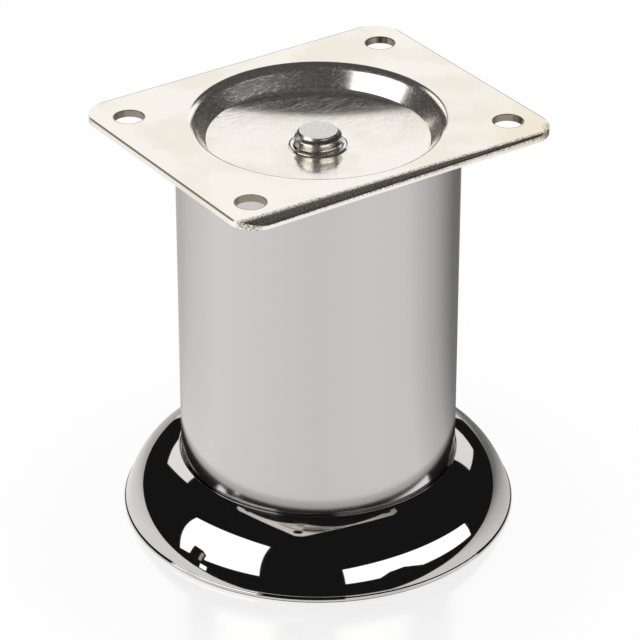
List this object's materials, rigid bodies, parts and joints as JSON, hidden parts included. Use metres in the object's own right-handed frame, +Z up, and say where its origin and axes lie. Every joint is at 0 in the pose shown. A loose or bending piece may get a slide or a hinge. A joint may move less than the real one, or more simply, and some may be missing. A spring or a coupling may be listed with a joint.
{
  "type": "furniture leg",
  "caption": "Short round chromed furniture leg with a bell foot and a dished rectangular mounting plate with corner screw holes, clamped by a central bolt.",
  "frame": {"origin": "on the bolt's axis at the floor, the middle of the glide ring's underside", "axes": "+Z up along the bolt to the mounting plate, X along the plate's long side, Y along its short side"},
  "size_m": [0.0856, 0.0856, 0.0926],
  "materials": {
    "plate_nickel": "bright nickel plating over pressed steel, worn at the edges and scratched in the dish",
    "tube_chrome": "polished chrome",
    "foot_chrome": "mirror chrome",
    "bolt_zinc": "bright zinc plating",
    "ring_plastic": "black moulded plastic"
  },
  "bodies": {
    "root": {"mounting_plate": "plate_nickel", "leg_tube": "tube_chrome", "bell_foot": "foot_chrome", "glide_ring": "ring_plastic", "bolt_washer": "bolt_zinc", "tie_bolt": "bolt_zinc"}
  },
  "joints": []
}
